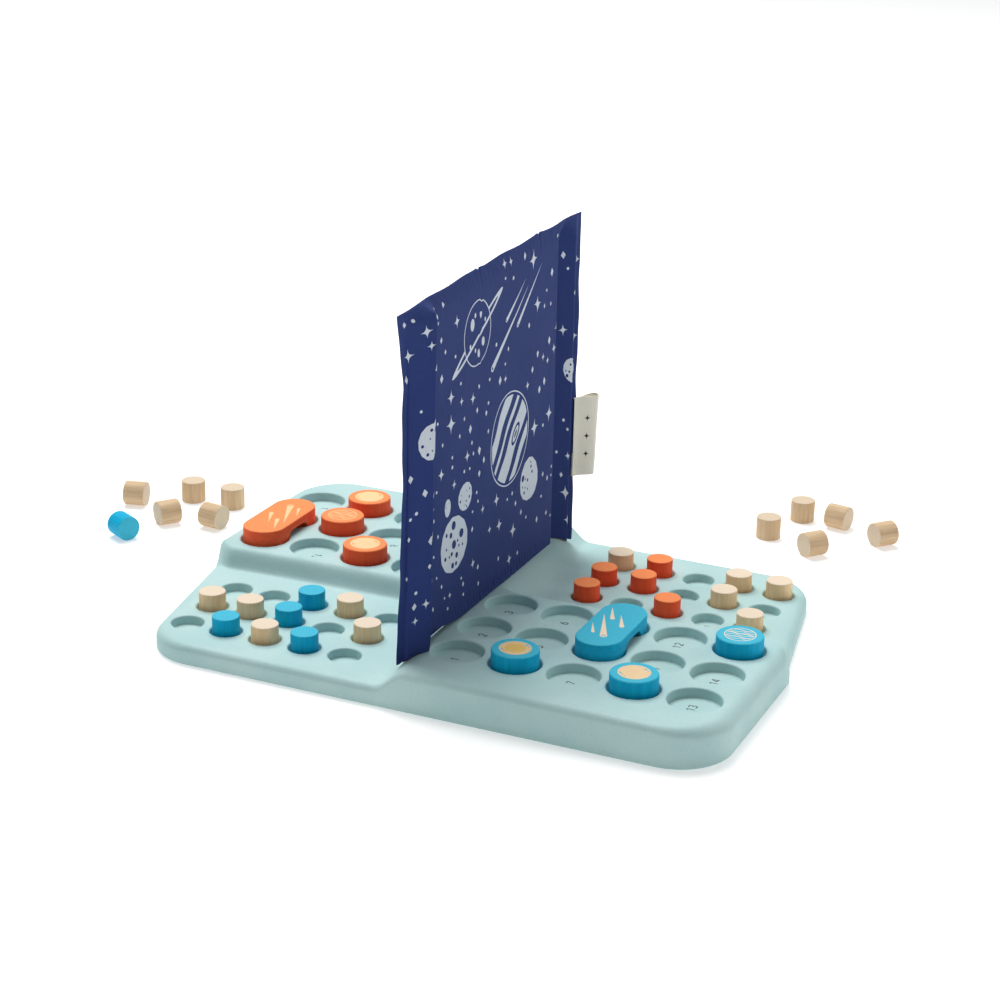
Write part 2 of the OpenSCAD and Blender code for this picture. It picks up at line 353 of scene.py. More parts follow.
def wood_material(name, colours, along="z"):
    """Dowel wood: streaks along the grain on the sides, arcs of year rings and pores on the ends."""
    s = Shader(bpy.data.materials.new(name))
    place = s.place()
    luck = s.node("ObjectInfo").outputs["Random"]
    drift = s.node("CombineXYZ", {0: luck, 1: s.times(luck, 1.7), 2: 0.0}).outputs[0]
    place_of_piece = s.node("VectorMath", {0: place, 1: drift}, operation="ADD").outputs[0]
    squeeze = {"z": (1.0, 1.0, 0.07), "y": (1.0, 0.07, 1.0)}[along]
    grain_space = s.stretch(place_of_piece, squeeze)
    streak = s.noise(grain_space, 900, 4, 0.65)
    broad_streak = s.noise(grain_space, 260, 2)
    off_centre = {"Vector": place, "Location": (0.011, -0.007, 0.0), "Scale": (1.0, 1.0, 0.0)}
    from_heart = s.node("Mapping", off_centre).outputs[0]
    radius = s.node("VectorMath", {0: from_heart}, operation="LENGTH").outputs["Value"]
    radius = s.math("ADD", radius, s.times(s.noise(place_of_piece, 120, 2), 0.0018))
    radius = s.math("ADD", radius, s.times(luck, 0.01))
    ring = s.math("SINE", s.times(radius, 4200.0))
    pores = s.node("TexVoronoi", {"Vector": place_of_piece, "Scale": 2300.0}).outputs["Distance"]
    pore = s.span(pores, 0.12, 0.3, 1, 0)
    ring_tone = s.span(ring, -1, 1, 0.0, 0.45)
    end_tone = s.math("ADD", ring_tone, s.times(pore, 0.6), clamp=True)
    broad_tone = s.span(broad_streak, 0.35, 0.65, 0, 0.4)
    side_tone = s.math("ADD", s.span(streak, 0.35, 0.7, 0, 0.6), broad_tone)
    end_colour = s.mix(end_tone, colours["end"], colours["end_dark"])
    side_colour = s.mix(side_tone, colours["side"], colours["side_dark"])
    normal = s.node("TexCoord").outputs["Normal"]
    tilt = s.node("SeparateXYZ", {0: normal}).outputs[2]
    is_end = s.span(s.math("ABSOLUTE", tilt), 0.55, 0.8)
    colour = s.mix(is_end, side_colour, end_colour)
    worn = s.node("Attribute", attribute_name="wear").outputs["Fac"]
    patchy = s.span(s.noise(place_of_piece, 500, 2), 0.3, 0.7, 0.15, 0.6)
    scuff = s.times(worn, patchy)
    colour = s.mix(scuff, colour, colours["worn"])
    height = s.node("Mix", {"Factor": is_end}, data_type="FLOAT")
    s.put(height.inputs["A"], streak)
    s.put(height.inputs["B"], s.math("SUBTRACT", 1.0, end_tone))
    skin = s.bump(height.outputs["Result"], 0.09, 0.5)
    rough = s.span(streak, 0.3, 0.7, colours["rough"] - 0.06, colours["rough"] + 0.08)
    return s.finish(colour, rough, skin, Specular_IOR_Level=colours["gloss"])


def ink_material(name, colour, under):
    """Pad-printed ink on wood, with a little of the wood showing in the pores."""
    s = Shader(bpy.data.materials.new(name))
    place = s.place()
    speck = s.node("TexVoronoi", {"Vector": place, "Scale": 2100.0}).outputs["Distance"]
    gap = s.times(s.span(speck, 0.1, 0.22, 1, 0), 0.6)
    patch = s.noise(place, 500, 3)
    tone = s.mix(s.span(patch, 0.3, 0.7, 0, 0.22), colour, under)
    rough = s.span(patch, 0.3, 0.7, 0.5, 0.65)
    return s.finish(s.mix(gap, tone, under), rough, s.bump(speck, 0.05, 0.3))


def cloth_material(name, thread, thread_dark, sheen):
    """Plain-woven cotton: crossing threads in the cloth's own flat coordinates, with a soft sheen."""
    s = Shader(bpy.data.materials.new(name))
    flat = s.node("UVMap", uv_map="cloth").outputs["UV"]
    ruffle = s.noise(flat, 260, 2)
    nudge = s.times(ruffle, 0.0006)
    warped = s.node("VectorMath", {0: flat, 1: nudge}, operation="ADD").outputs[0]
    parts = s.node("SeparateXYZ", {0: warped})
    turns_per_metre = 2 * math.pi / 0.00062
    across = s.math("SINE", s.times(parts.outputs[0], turns_per_metre))
    upward = s.math("SINE", s.times(parts.outputs[1], turns_per_metre))
    weave = s.times(across, upward)
    slub = s.noise(s.stretch(flat, (1, 0.05, 1)), 2600, 2)
    slub_across = s.noise(s.stretch(flat, (0.05, 1, 1)), 2600, 2)
    uneven = s.math("ADD", slub, slub_across)
    thread_tone = s.span(uneven, 0.75, 1.25, 0, 0.45)
    shade = s.math("ADD", s.span(weave, -1, 1, 0, 0.45), thread_tone, clamp=True)
    faded = s.span(s.noise(s.place(), 26, 3), 0.35, 0.65, 0, 0.35)
    colour = s.mix(faded, s.mix(shade, thread, thread_dark), thread)
    skin = s.bump(weave, 0.09, 0.55)
    skin = s.bump(uneven, 0.12, 0.3, skin)
    skin = s.bump(s.noise(s.stretch(flat, (1, 0.35, 1)), 150, 3), 0.9, 0.22, skin)
    return s.finish(
        colour, 0.82, skin, Specular_IOR_Level=0.25,
        Sheen_Weight=sheen, Sheen_Roughness=0.45, Sheen_Tint=(0.55, 0.65, 1.0),
    )


TRAY_TINT = {
    "low": srgb(170, 205, 204), "high": srgb(183, 213, 211),
    "dark": srgb(100, 152, 154), "light": srgb(220, 236, 234),
}
NATURAL = {
    "end": srgb(236, 219, 196), "end_dark": srgb(212, 188, 158),
    "side": srgb(255, 219, 174), "side_dark": srgb(234, 190, 143),
    "worn": srgb(240, 224, 200), "rough": 0.62, "gloss": 0.3,
}
# A darker copy of the natural wood, with the same roughness and gloss, used for pegs 11 to 20.
NATURAL_DARKER = {
    "end": srgb(220, 202, 176), "end_dark": srgb(194, 170, 140),
    "side": srgb(222, 194, 158), "side_dark": srgb(196, 164, 124),
    "worn": srgb(228, 210, 184), "rough": 0.62, "gloss": 0.3,
}
BLUE = {
    "end": srgb(72, 192, 218), "end_dark": srgb(30, 162, 196),
    "side": srgb(0, 184, 226), "side_dark": srgb(0, 156, 200),
    "worn": srgb(80, 202, 226), "rough": 0.55, "gloss": 0.15,
}
ORANGE = {
    "end": srgb(255, 152, 92), "end_dark": srgb(248, 122, 64),
    "side": srgb(255, 98, 56), "side_dark": srgb(250, 80, 44),
    "worn": srgb(248, 146, 92), "rough": 0.55, "gloss": 0.15,
}
SLAT_WOOD = {
    "end": srgb(222, 200, 168), "end_dark": srgb(190, 160, 122),
    "side": srgb(216, 188, 150), "side_dark": srgb(190, 156, 116),
    "worn": srgb(232, 214, 186), "rough": 0.7, "gloss": 0.3,
}
BOARD = {
    "end": srgb(168, 160, 148), "end_dark": srgb(140, 132, 120),
    "side": srgb(172, 165, 152), "side_dark": srgb(150, 142, 130),
    "worn": srgb(190, 184, 172), "rough": 0.85, "gloss": 0.2,
}

tray_skin = tray_material("tray_composite", TRAY_TINT)
tray_ink = ink_material("tray_print", srgb(62, 68, 72), srgb(140, 176, 174))
natural_wood = wood_material("natural_wood", NATURAL)
darker_natural_wood = wood_material("natural_wood_darker", NATURAL_DARKER)
blue_wood = wood_material("blue_stained_wood", BLUE)
orange_wood = wood_material("orange_stained_wood", ORANGE)
blue_plank = wood_material("blue_stained_plank", BLUE, "y")
orange_plank = wood_material("orange_stained_plank", ORANGE, "y")
slat_wood = wood_material("slat_wood", SLAT_WOOD)
board_fibre = wood_material("board", BOARD)
cream_ink = ink_material("print_cream", srgb(250, 224, 192), srgb(214, 176, 140))
sand_ink = ink_material("print_sand", srgb(238, 206, 158), srgb(206, 170, 122))
gold_ink = ink_material("print_gold", srgb(232, 194, 100), srgb(206, 164, 84))
pale_ink = ink_material("print_pale_orange", srgb(255, 206, 150), srgb(246, 160, 100))
screen_cloth = cloth_material("screen_cloth", srgb(42, 62, 124), srgb(30, 45, 100), 0.05)
screen_ink = cloth_material("screen_print", srgb(222, 228, 236), srgb(196, 204, 218), 0.1)
label_cloth = cloth_material("label_cloth", srgb(255, 252, 238), srgb(250, 240, 218), 0.2)
label_ink = cloth_material("label_print", srgb(70, 66, 72), srgb(52, 50, 58), 0.05)


# ---------------------------------------------------------------- tray
def fall_right(x, y):
    """How far the right half has fallen from the raised deck to the lowered one, 0 to 1.

    The slope runs along x beside the screen and along the middle line, and turns down round the end.
    """
    narrow = ease((np.abs(y) - RIDGE_NARROWS[0]) / (RIDGE_NARROWS[1] - RIDGE_NARROWS[0]))
    crest = SLOPE_X[0] - RIDGE_CREST_SHIFT * narrow
    foot = SLOPE_X[1] - RIDGE_FOOT_SHIFT * narrow
    sideways = ease((x - crest) / (foot - crest))
    share = np.clip(x / SLOPE_LENGTH, 0, 1) ** 3
    top = between(SLOPE_Y_AT_SCREEN[0], SLOPE_Y_AT_END[0], share)
    bottom = between(SLOPE_Y_AT_SCREEN[1], SLOPE_Y_AT_END[1], share)
    turn = SLOPE_TURN * np.clip((x - SLOPE_TURNS_AT) / SLOPE_TURN_RUN, 0, 1.3) ** 2
    down = np.clip((y + turn - top) / (bottom - top), 0, 1)
    return sideways * ease(down ** 1.6)


def deck_height(x, y):
    """Height of the tray's upper surface, without its rounded rim and pockets."""
    return DECK - (DECK - LOW_DECK) * (fall_right(x, y) + fall_right(-x, -y))


def half_outline(inset):
    """Right half of the tray's outline, from the raised front corner to the lowered back one."""
    r = CORNER_R
    low_x = HALF_LENGTH - LOW_END_INSET - r / math.cos(LOW_END_TAPER)
    low_x -= math.tan(LOW_END_TAPER) * (HALF_WIDTH - r - WAIST[1])
    turn = math.degrees(LOW_END_TAPER)
    points = arc((HALF_LENGTH - r, r - HALF_WIDTH), (r - inset, r - inset), -90, 0, 18)
    for t in np.linspace(0, 1, 13):
        points.append((HALF_LENGTH - inset - LOW_END_INSET * ease(t), between(*WAIST, t)))
    return points + arc((low_x, HALF_WIDTH - r), (r - inset, r - inset), turn, 90, 16)


def outline(inset):
    """The whole outline drawn in by inset, with the same number of points for every inset."""
    halves = (half_outline(0), half_outline(inset))
    full, drawn_in = (half + [(-x, -y) for x, y in half] for half in halves)
    points = []
    for k, here in enumerate(full):
        after = (k + 1) % len(full)
        pieces = max(1, math.ceil(math.dist(here, full[after]) / OUTLINE_SPACING))
        for j in range(pieces):
            points.append([between(a, b, j / pieces) for a, b in zip(drawn_in[k], drawn_in[after])])
    return points


ROUND_OF_SIX = [
    arc((0.3, 0.3), (0.28, 0.3), 0, 190, 12),
    arc((0.3, 0.3), (0.28, 0.3), 180, 365, 12),
    arc((0.6, 0.35), (0.58, 0.65), 100, 185, 8),
]
DIGIT_STROKES = {
    "0": [arc((0.3, 0.5), (0.28, 0.5), 85, 275, 12), arc((0.3, 0.5), (0.28, 0.5), -95, 95, 12)],
    "1": [[(0.1, 0.76), (0.34, 1.0)], [(0.34, 1.02), (0.34, 0.5), (0.34, 0.0)]],
    "2": [arc((0.3, 0.7), (0.27, 0.3), 170, -35, 12), [(0.53, 0.55), (0.05, 0.03)], [(0, 0), (0.6, 0)]],
    "3": [arc((0.27, 0.75), (0.26, 0.25), 150, -90, 12), arc((0.27, 0.25), (0.31, 0.25), 90, -150, 12)],
    "4": [[(0.45, 0.0), (0.45, 1.0)], [(0.45, 1.0), (0.0, 0.3)], [(0.0, 0.3), (0.62, 0.3)]],
    "5": [[(0.55, 1.0), (0.1, 1.0)], [(0.12, 1.0), (0.07, 0.52)],
          arc((0.27, 0.32), (0.31, 0.32), 135, -150, 12)],
    "6": ROUND_OF_SIX,
    "7": [[(0.0, 1.0), (0.6, 1.0)], [(0.58, 1.0), (0.2, 0.0)]],
    "8": [arc((0.3, 0.75), (0.23, 0.25), 0, 185, 10), arc((0.3, 0.75), (0.23, 0.25), 180, 365, 10),
          arc((0.3, 0.25), (0.29, 0.26), 0, 185, 10), arc((0.3, 0.25), (0.29, 0.26), 180, 365, 10)],
    "9": [moved(line, (0.6, 1.0), 180) for line in ROUND_OF_SIX],
}
DIGIT_STROKE_WIDTH = 0.175
DIGIT_PITCH = 0.82


def number_outlines(number, centre, height, turn):
    """Pen outlines of a number whose middle is at centre, turned by so many degrees."""
    text = str(number)
    start = -DIGIT_PITCH * (len(text) - 1) / 2 - 0.3
    shapes = []
    for k, digit in enumerate(text):
        for line in DIGIT_STROKES[digit]:
            placed = moved(line, (start + k * DIGIT_PITCH, -0.5))
            shapes.append(moved(stroke(placed, DIGIT_STROKE_WIDTH), centre, turn, height))
    return shapes


def rim_points(angle):
    """One line round the rounded rim, at an angle from 0 on the wall to 90 degrees on the deck.

    The rim is rounder at the tray's two ends, most of all at the ends of the raised decks.
    """
    a = math.radians(angle)
    points = []
    for (x, y), (inner_x, inner_y) in zip(outline(0), outline(1)):
        fallen = float(fall_right(x, y) + fall_right(-x, -y))
        end_r = between(RIM_R_RAISED_END, RIM_R_LOWERED_END, fallen)
        r = between(RIM_R_SIDES, end_r, abs(inner_x - x))
        px = x + (inner_x - x) * r * (1 - math.cos(a))
        py = y + (inner_y - y) * r * (1 - math.cos(a))
        points.append((px, py, float(deck_height(px, py)) - r * (1 - math.sin(a))))
    return points


POCKET_STEPS = 56


def pocket_profile(r, depth):
    """Section of a pocket from its rounded lip down to its floor, as (radius, drop) pairs."""
    lip, foot, draft = 1.1, 0.5, 0.25
    top = [(r + lip - x, -lip + y) for x, y in arc((0, 0), (lip, lip), 90, 0, 4)]
    low_r = r - draft
    bottom = [(low_r - foot + x, -depth + foot + y) for x, y in arc((0, 0), (foot, foot), 0, -90, 4)]
    return top + bottom


def pocket_centres(kind):
    for column in range(COLUMNS):
        for row in range(ROWS):
            x = kind["first"][0] + kind["pitch"][0] * column
            y = kind["first"][1] + kind["pitch"][1] * row
            yield column * ROWS + row + 1, x, y


def add_pocket(builder, kind, number, x, y, half):
    """One pocket: lip, wall and floor with its number. half is 1 on the right and -1 on the left."""
    profile = pocket_profile(kind["d"] / 2, kind["depth"])
    deck = kind["deck"]
    rings = []
    for r, drop in profile:
        edge = circle((x, y), r, POCKET_STEPS)
        rings.append(builder.add([(half * px, half * py, deck + drop) for px, py in edge]))
    builder.tube(rings[::-1])
    place = (x + kind["number_offset"][0], y + kind["number_offset"][1])
    shapes = [(p, 1) for p in number_outlines(number, place, kind["number_height"], 90)]
    floor_edge = circle((x, y), profile[-1][0], POCKET_STEPS)
    floor = deck - kind["depth"]
    builder.sheet(painted_sheet(floor_edge, shapes), lambda px, py: (half * px, half * py, floor))


def slot_outline(half):
    """Rectangle of the slat's slot, in the front (1) or the back (-1) half of the tray."""
    w, l = SLAT_SLOT[0] / 2, SLAT_SLOT[1] / 2
    box = [(w, -l), (w, 0), (w, l), (-w, l), (-w, 0), (-w, -l)]
    turned = moved(box, (0, -SLAT_OFFSET), -math.degrees(SLAT_TURN))
    return [(half * x, half * y) for x, y in turned]


def deck_points():
    """Points inside the outline, close together on and near the slopes and far apart elsewhere."""
    coarse, reach = 9, 3
    xs = np.arange(-HALF_LENGTH, HALF_LENGTH, DECK_SPACING) + DECK_SPACING / 2
    ys = np.arange(-HALF_WIDTH, HALF_WIDTH, DECK_SPACING) + DECK_SPACING / 2
    x, y = np.meshgrid(xs, ys)
    level = deck_height(x, y)
    sloping = (np.abs(level - DECK) > 0.004) & (np.abs(level - LOW_DECK) > 0.004)
    wanted = np.zeros_like(sloping)
    wanted[::coarse, ::coarse] = True
    for i in range(-reach, reach + 1):
        for j in range(-reach, reach + 1):
            wanted |= np.roll(sloping, (i, j), (0, 1))
    return list(zip(x[wanted].tolist(), y[wanted].tolist()))


def make_tray():
    """The moulded tray: rounded rim, two levels, sixty numbered pockets and two slat slots."""
    builder = Builder()
    rings = []
    for angle in (0, 35, 70, 90):
        a = math.radians(angle)
        inset = BOTTOM_R * (1 - math.sin(a))
        z = BOTTOM_R * (1 - math.cos(a))
        rings.append(builder.add([(x, y, z) for x, y in outline(inset)]))
    for angle in range(0, 91, 15):
        rings.append(builder.add(rim_points(angle)))
    builder.tube(rings)
    holes = []
    for kind in (LARGE, SMALL):
        lip_r = pocket_profile(kind["d"] / 2, kind["depth"])[0][0]
        for half in (1, -1):
            for number, x, y in pocket_centres(kind):
                lip_edge = circle((x, y), lip_r, POCKET_STEPS)
                holes.append(([(half * px, half * py) for px, py in lip_edge], None))
                add_pocket(builder, kind, number, x, y, half)
    for half in (1, -1):
        rim = slot_outline(half)
        holes.append((rim, None))
        floor_z = DECK - SLAT_DEPTH
        upper = builder.add([(x, y, float(deck_height(x, y))) for x, y in rim])
        lower = builder.add([(x, y, floor_z) for x, y in rim])
        builder.tube([lower, upper])
        builder.face(lower)
    deck_edge = [(x, y) for x, y, _ in rim_points(90)]
    deck = painted_sheet(deck_edge, holes, deck_points())
    builder.sheet(deck, lambda x, y: (x, y, float(deck_height(x, y))))
    builder.sheet(painted_sheet(outline(BOTTOM_R), []), lambda x, y: (x, y, 0.0), flip=True)
    return builder.build("tray_moulding", [tray_skin, tray_ink], sharp_angle=50)


# ---------------------------------------------------------------- wooden pieces
def piece_place(node):
    """Where a turned piece stands or lies: its matrix, with its own +Z along its axis."""
    low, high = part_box(node)
    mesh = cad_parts[node].data
    areas = {}
    for polygon in mesh.polygons:
        key = tuple(round(c, 2) for c in polygon.normal)
        areas[key] = areas.get(key, 0.0) + polygon.area
    axis = Vector(max(areas, key=areas.get)).normalized()
    if abs(axis.z) > 0.9:
        axis = Vector((0, 0, 1))
    centre = (low + high) / 2
    turn = axis.to_track_quat("Z", "Y").to_matrix().to_4x4()
    return Matrix.Translation(centre) @ turn


def add_turned(builder, r, height, bevel, luck, top=()):
    """A sawn and tumbled dowel slice about the origin, with its own slightly uneven edge."""
    steps = 64
    wobble = [luck.uniform(-1, 1) for k in range(4)]

    def ring(inset, z, wear):
        points = []
        for k in range(steps):
            t = 2 * math.pi * k / steps
            oval = wobble[0] * math.sin(2 * t + wobble[1] * 3)
            lobes = wobble[2] * math.sin(3 * t + wobble[3] * 3)
            reach = r - inset + 0.03 * (oval + lobes)
            points.append((reach * math.cos(t), reach * math.sin(t), z))
        return builder.add(points, wear)

    half = height / 2
    eased = []
    for a in np.radians(range(0, 91, 18)):
        eased.append((bevel * (1 - math.sin(a)), half - bevel * (1 - math.cos(a)), math.sin(2 * a)))
    rows = [ring(inset, -z, wear) for inset, z, wear in eased]
    rows += [ring(0.0, z, 0.0) for z in np.linspace(-half + 1.6 * bevel, half - 1.6 * bevel, 5)]
    rows += [ring(inset, z, wear) for inset, z, wear in eased[::-1]]
    builder.tube(rows)
    for row, z in ((rows[0], -half), (rows[-1], half)):
        rim = [builder.verts[k][:2] for k in row]
        shapes = top if z > 0 else ()
        inner = [circle((0, 0), (r - bevel) * share, 24) for share in (0.93, 0.6)]
        extra = [p for loop in inner for p in loop] + [(0.0, 0.0)]
        builder.sheet(painted_sheet(rim, shapes, extra), lambda x, y: (x, y, z))


def stand_in(piece, node, body=None):
    """Lets the piece take a CAD node's place, on that node's body unless another is given."""
    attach(piece, body or node)
    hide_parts(node)


def make_peg(node, material):
    """A marker peg, turned about its axis by chance so that no two show the same grain."""
    luck = random.Random(node)
    builder = Builder()
    add_turned(builder, PEG_R, PEG_LENGTH, luck.uniform(0.45, 0.7), luck)
    piece = builder.build(node + "_wood", [material], sharp_angle=50)
    spin = Matrix.Rotation(luck.uniform(0, 2 * math.pi), 4, "Z")
    piece.matrix_world = piece_place(node) @ spin
    stand_in(piece, node)


def crater_planet(two_inks):
    """A printed disc with small craters near its edge, and with a second ink in its middle if asked."""
    shapes = [(circle((0, 0), PRINT_R, 40), 1)]
    if two_inks:
        shapes.append((circle((0, 0), PRINT_R * 0.66, 36), 2))
    craters = (
        (214, 0.82, 0.7), (232, 0.80, 0.45), (200, 0.86, 0.35), (52, 0.80, 0.75),
        (36, 0.84, 0.5), (68, 0.84, 0.35), (248, 0.85, 0.35),
    )
    for angle, reach, r in craters:
        a = math.radians(angle)
        place = (PRINT_R * reach * math.cos(a), PRINT_R * reach * math.sin(a))
        shapes.append((circle(place, r, 10), 0))
    return shapes


def banded_planet():
    """A ring outline filled with wavy bands."""
    shapes = [(circle((0, 0), PRINT_R, 40), 1), (circle((0, 0), PRINT_R - 0.5, 40), 0)]
    for k, width in enumerate((0.45, 0.8, 0.45, 1.0, 0.5, 0.7)):
        y = -5.6 + 2.25 * k
        reach = math.sqrt((PRINT_R - 0.7) ** 2 - y * y) - 0.25
        xs = np.linspace(-reach, reach, 15)
        line = [(x, y + 0.42 * math.sin(x * 0.75 + k * 1.9)) for x in xs]
        shapes.append((stroke(line, width), 1))
    return shapes


def make_planet(node, material, shapes, inks):
    """A round fleet piece with its printed top."""
    luck = random.Random(node)
    builder = Builder()
    low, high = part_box(node)
    add_turned(builder, (high.x - low.x) / 2 / MM, (high.z - low.z) / MM, 1.1, luck, shapes)
    piece = builder.build(node + "_wood", [material] + inks, sharp_angle=50)
    piece.matrix_world = Matrix.Translation((low + high) / 2)
    stand_in(piece, node)


def comet(head, tip, r):
    """A teardrop with a round head at one end and a point at the other."""
    heading = math.degrees(math.atan2(tip[1] - head[1], tip[0] - head[0]))
    length = math.dist(head, tip)
    return moved(arc((0, 0), (r, r), 80, 280, 10) + [(length, 0)], head, heading)


def make_plank(node, material, inks, half):
    """Long piece on two feet with an arch between them; half is 1 on the right and -1 on the left."""
    low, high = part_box(node)
    width = (high.x - low.x) / MM
    length = (high.y - low.y) / MM
    height = (high.z - low.z) / MM
    bevel = 0.7
    r = width / 2
    reach = length / 2 - r
    crown = height - PLANK_SLAB
    foot_middle = (reach + ARCH_HALF) / 2
    side = [(-ARCH_HALF, 0.0), (-ARCH_HALF, crown - ARCH_R)]
    side += arc((ARCH_R - ARCH_HALF, crown - ARCH_R), (ARCH_R, ARCH_R), 180, 90, 6)[1:]
    side += [(-y, z) for y, z in side[::-1]]
    samples = [(-reach, 0.0), (-foot_middle, 0.0)] + side + [(foot_middle, 0.0), (reach, 0.0)]

    def ring(inset, level):
        """Round the outline; level turns an underside height into a height."""
        out = r - inset
        points = [(out, y, level(z)) for y, z in samples]
        points += [(x, y, level(0.0)) for x, y in arc((0, reach), (out, out), 0, 180, 22)[1:-1]]
        points += [(-out, y, level(z)) for y, z in samples[::-1]]
        points += [(x, y, level(0.0)) for x, y in arc((0, -reach), (out, out), 180, 360, 22)[1:-1]]
        return points

    builder = Builder()
    under = builder.add(ring(0.3, lambda z: z), 0.6)
    rows = [under, builder.add(ring(0.0, lambda z: z + 0.3), 0.6)]
    for angle in range(0, 91, 18):
        a = math.radians(angle)
        z = height - bevel * (1 - math.sin(a))
        wear = 1.0 if 0 < angle < 90 else 0.2
        rows.append(builder.add(ring(bevel * (1 - math.cos(a)), lambda _: z), wear))
    builder.tube(rows)
    n = len(samples)
    turn = len(under) // 2 - n
    right = under[:n]
    left = under[n + turn:2 * n + turn][::-1]
    for k in range(2, n - 3):
        builder.face((right[k], right[k + 1], left[k + 1], left[k]))
    builder.face(right[n - 3:] + under[n:n + turn] + left[n - 3:][::-1])
    builder.face(left[:3][::-1] + under[2 * n + turn:] + right[:3])
    rim = [builder.verts[k][:2] for k in rows[-1]]
    edge = [p for k, p in enumerate(rim) if math.dist(p, rim[k - 1]) > 1e-4]
    inner = [(x, y) for x in (-8.0, -4.0, 0.0, 4.0, 8.0) for y in np.linspace(-reach, reach, 9)]
    builder.sheet(painted_sheet(edge, plank_comets(), inner), lambda x, y: (x, y, height))
    piece = builder.build(node + "_wood", [material] + inks, sharp_angle=42)
    base = Vector(((low.x + high.x) / 2, (low.y + high.y) / 2, low.z))
    piece.matrix_world = Matrix.Translation(base) @ Matrix.Rotation(0 if half > 0 else math.pi, 4, "Z")
    stand_in(piece, node)


def plank_comets():
    """Four falling comets, the largest with a ring in its head."""
    head = (1.8, -16.5)
    return [
        (comet(head, (-8.5, 10.5), 1.95), 1),
        (circle(head, 1.2, 16), 0),
        (circle(head, 0.7, 14), 1),
        (comet((-2.3, 6.7), (-8.0, 21.1), 1.3), 1),
        (comet((6.1, -1.1), (0.2, 13.2), 1.3), 1),
        (comet((-5.1, -14.2), (-9.9, -2.6), 0.95), 1),
    ]


# ---------------------------------------------------------------- the screen's cloth
# A key is a line up the cloth: its place across the flat cloth, the radius of its fold, and rows of
# (height up the cloth, x, y) for its place in plan. The folds flatten towards the straight top seam.
FRONT_END = [(-4, -5.85, -104.5), (25, -4.8, -105.0), (80, -2.3, -106.2), (150, -2.0, -107.0),
             (172, -1.1, -112.2), (189, 0.0, -118.0)]
BACK_END = [(-4, 5.85, 104.5), (80, 5.7, 105.0), (150, 4.9, 106.6), (172, 2.4, 112.0), (191, 0.0, 118.0)]
FRONT_ROOT = [(-4, -3.4, -100.8), (80, -1.9, -102.0), (150, -1.6, -102.7), (172, -0.8, -107.5),
              (189, 0.0, -113.0)]
BACK_ROOT = [(-4, 3.4, 100.8), (150, 3.0, 102.2), (172, 1.4, 107.2), (191, 0.0, 113.0)]
ROOT_U = 113.0
ROOT_GAP = 0.3


def sheet_keys(back):
    """The fold lines of the front sheet, or of the back one, which is the front one turned round."""
    sign = -1 if back else 1
    gap_x = sign * ROOT_GAP * math.cos(SLAT_TURN)
    gap_y = -sign * ROOT_GAP * math.sin(SLAT_TURN)
    front_root = [(h, x + gap_x, y + gap_y) for h, x, y in FRONT_ROOT]
    back_root = [(h, x + gap_x, y + gap_y) for h, x, y in BACK_ROOT]
    proud = [
        (2.6, 1.6, [(0, -1.06, -102.1), (150, -0.7, -102.8), (176, 0.4, -107.0), (189, 0.4, -110.4)]),
        (19.2, 1.3, [(0, 7.0, -89.7), (183, 8.5, -88.4), (190, 0.6, -93.6)]),
        (28.8, 2.4, [(0, 1.9, -82.4), (183, 2.1, -81.0), (190, 0.45, -84.2)]),
    ]
    shy = [
        (26.6, 2.4, [(0, 1.9, 82.0), (180, 2.0, 81.0), (190, 0.45, 86.4)]),
        (18.1, 2.0, [(0, -1.36, 88.3), (180, -2.5, 86.8), (190, 0.3, 94.9)]),
        (3.1, 1.5, [(0, 5.72, 99.2), (150, 5.6, 99.6), (180, 5.6, 99.8), (190, 0.4, 109.9)]),
    ]
    left, right = (shy, proud) if back else (proud, shy)
    folds = [(u - ROOT_U, r, rows) for u, r, rows in left]
    folds += [(ROOT_U - u, r, rows) for u, r, rows in right]
    keys = [(-CLOTH_HALF, 0.0, FRONT_END), (-ROOT_U, 0.9, front_root)]
    for u, r, rows in sorted(folds):
        keys.append((u, r, [(h, sign * x, sign * y) for h, x, y in rows]))
    return keys + [(ROOT_U, 0.9, back_root), (CLOTH_HALF, 0.0, BACK_END)]


def plan_path(keys, u, h):
    """Place in plan of cloth points u at height h: straight runs joined by rounded folds."""
    xs, ys = [], []
    for _, _, rows in keys:
        heights = [row[0] for row in rows]
        xs.append(np.interp(h, heights, [row[1] for row in rows]))
        ys.append(np.interp(h, heights, [row[2] for row in rows]))
    us = [key[0] for key in keys]
    slopes = []
    for k in range(len(keys) - 1):
        run = us[k + 1] - us[k]
        slopes.append(((xs[k + 1] - xs[k]) / run, (ys[k + 1] - ys[k]) / run))
    x = xs[0] + slopes[0][0] * (u - us[0])
    y = ys[0] + slopes[0][1] * (u - us[0])
    for k in range(1, len(keys) - 1):
        r = keys[k][1]
        past = u - us[k]
        ramp = np.where(past <= -r, 0.0, np.where(past >= r, past, (past + r) ** 2 / (4 * r)))
        x = x + (slopes[k][0] - slopes[k - 1][0]) * ramp
        y = y + (slopes[k][1] - slopes[k - 1][1]) * ramp
    return x, y


def bell(value, centre, width):
    """A smooth hump of height 1 that is gone beyond the width."""
    t = np.clip(np.abs(value - centre) / width, 0, 1)
    return (1 + np.cos(np.pi * t)) / 2


def ruffles(u, v, phase):
    """Sum of a few sine waves that reads as uneven slanting gathers, about -1 to 1."""
    drift = 0.45 * v + 0.8 * np.sin(u / 23 + phase) + 0.5 * np.sin(u / 9 + 2 * phase)
    wave = np.sin(u * 1.55 + drift + phase) + 0.7 * np.sin(u * 2.35 - drift + 2.1 * phase)
    return (wave + 0.6 * np.sin(u * 0.83 + 1.7 * drift)) / 2.3


SEAM_HEIGHT = 189.9
SEAM_RISE = 1.7
SEAM_CROWN = 1.2
SEAM_NICKS = (-24.0, 56.0)


